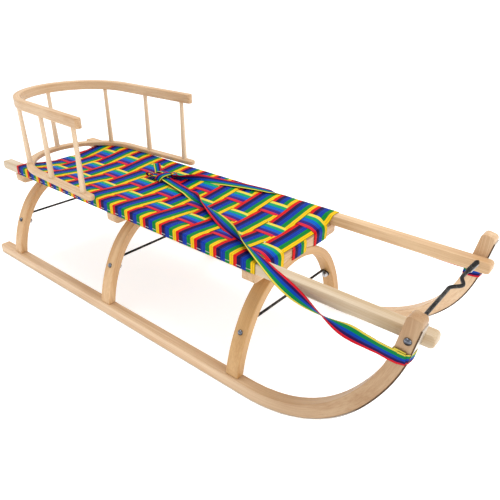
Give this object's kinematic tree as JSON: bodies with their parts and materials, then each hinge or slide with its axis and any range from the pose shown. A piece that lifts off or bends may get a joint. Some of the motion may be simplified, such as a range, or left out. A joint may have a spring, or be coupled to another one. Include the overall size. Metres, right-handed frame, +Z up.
{
  "type": "wooden sled",
  "caption": "Bent beech sled with upturned runners, three arches, a woven rainbow strap seat, a hoop backrest on turned spindles and a tow strap knotted on the seat.",
  "frame": {"origin": "on the ground under the middle of the sled's box, without the tow strap", "axes": "+X forward to the horns, +Y to the sled's left, +Z up"},
  "size_m": [1.1, 0.3504, 0.4062],
  "materials": {
    "beech": "thin satin varnish on bent beech",
    "webbing": "ribbed woven strap in red, navy, blue, green and yellow stripes",
    "shoe_steel": "rolled strip, lightly worn",
    "dark_steel": "blackened rod, satin",
    "bright_steel": "bright zinc on bolts, nuts and staples"
  },
  "bodies": {
    "root": {"arch_front": "beech", "arch_middle": "beech", "arch_rear": "beech", "backrest_base": "beech", "backrest_top": "beech", "cross_strap_01": "webbing", "cross_strap_02": "webbing", "cross_strap_03": "webbing", "cross_strap_04": "webbing", "cross_strap_05": "webbing", "cross_strap_06": "webbing", "cross_strap_07": "webbing", "cross_strap_08": "webbing", "cross_strap_09": "webbing", "cross_strap_10": "webbing", "cross_strap_11": "webbing", "cross_strap_12": "webbing", "cross_strap_13": "webbing", "cross_strap_14": "webbing", "cross_strap_15": "webbing", "cross_strap_16": "webbing", "crosspiece_front": "beech", "crosspiece_middle": "beech", "crosspiece_rear": "beech", "horn_loop_left": "webbing", "horn_loop_right": "webbing", "long_strap_left": "webbing", "long_strap_middle": "webbing", "long_strap_right": "webbing", "pull_bar": "dark_steel", "rail_left": "beech", "rail_right": "beech", "runner_left": "beech", "runner_right": "beech", "shoe_left": "shoe_steel", "shoe_right": "shoe_steel", "spindle_1": "beech", "spindle_2": "beech", "spindle_3": "beech", "spindle_4": "beech", "spindle_5": "beech", "spindle_6": "beech", "spindle_7": "beech", "tie_rod_front": "dark_steel", "tie_rod_middle": "dark_steel", "tie_rod_rear": "dark_steel", "tow_knot": "webbing", "tow_strand_left": "webbing", "tow_strand_right": "webbing"}
  },
  "joints": []
}
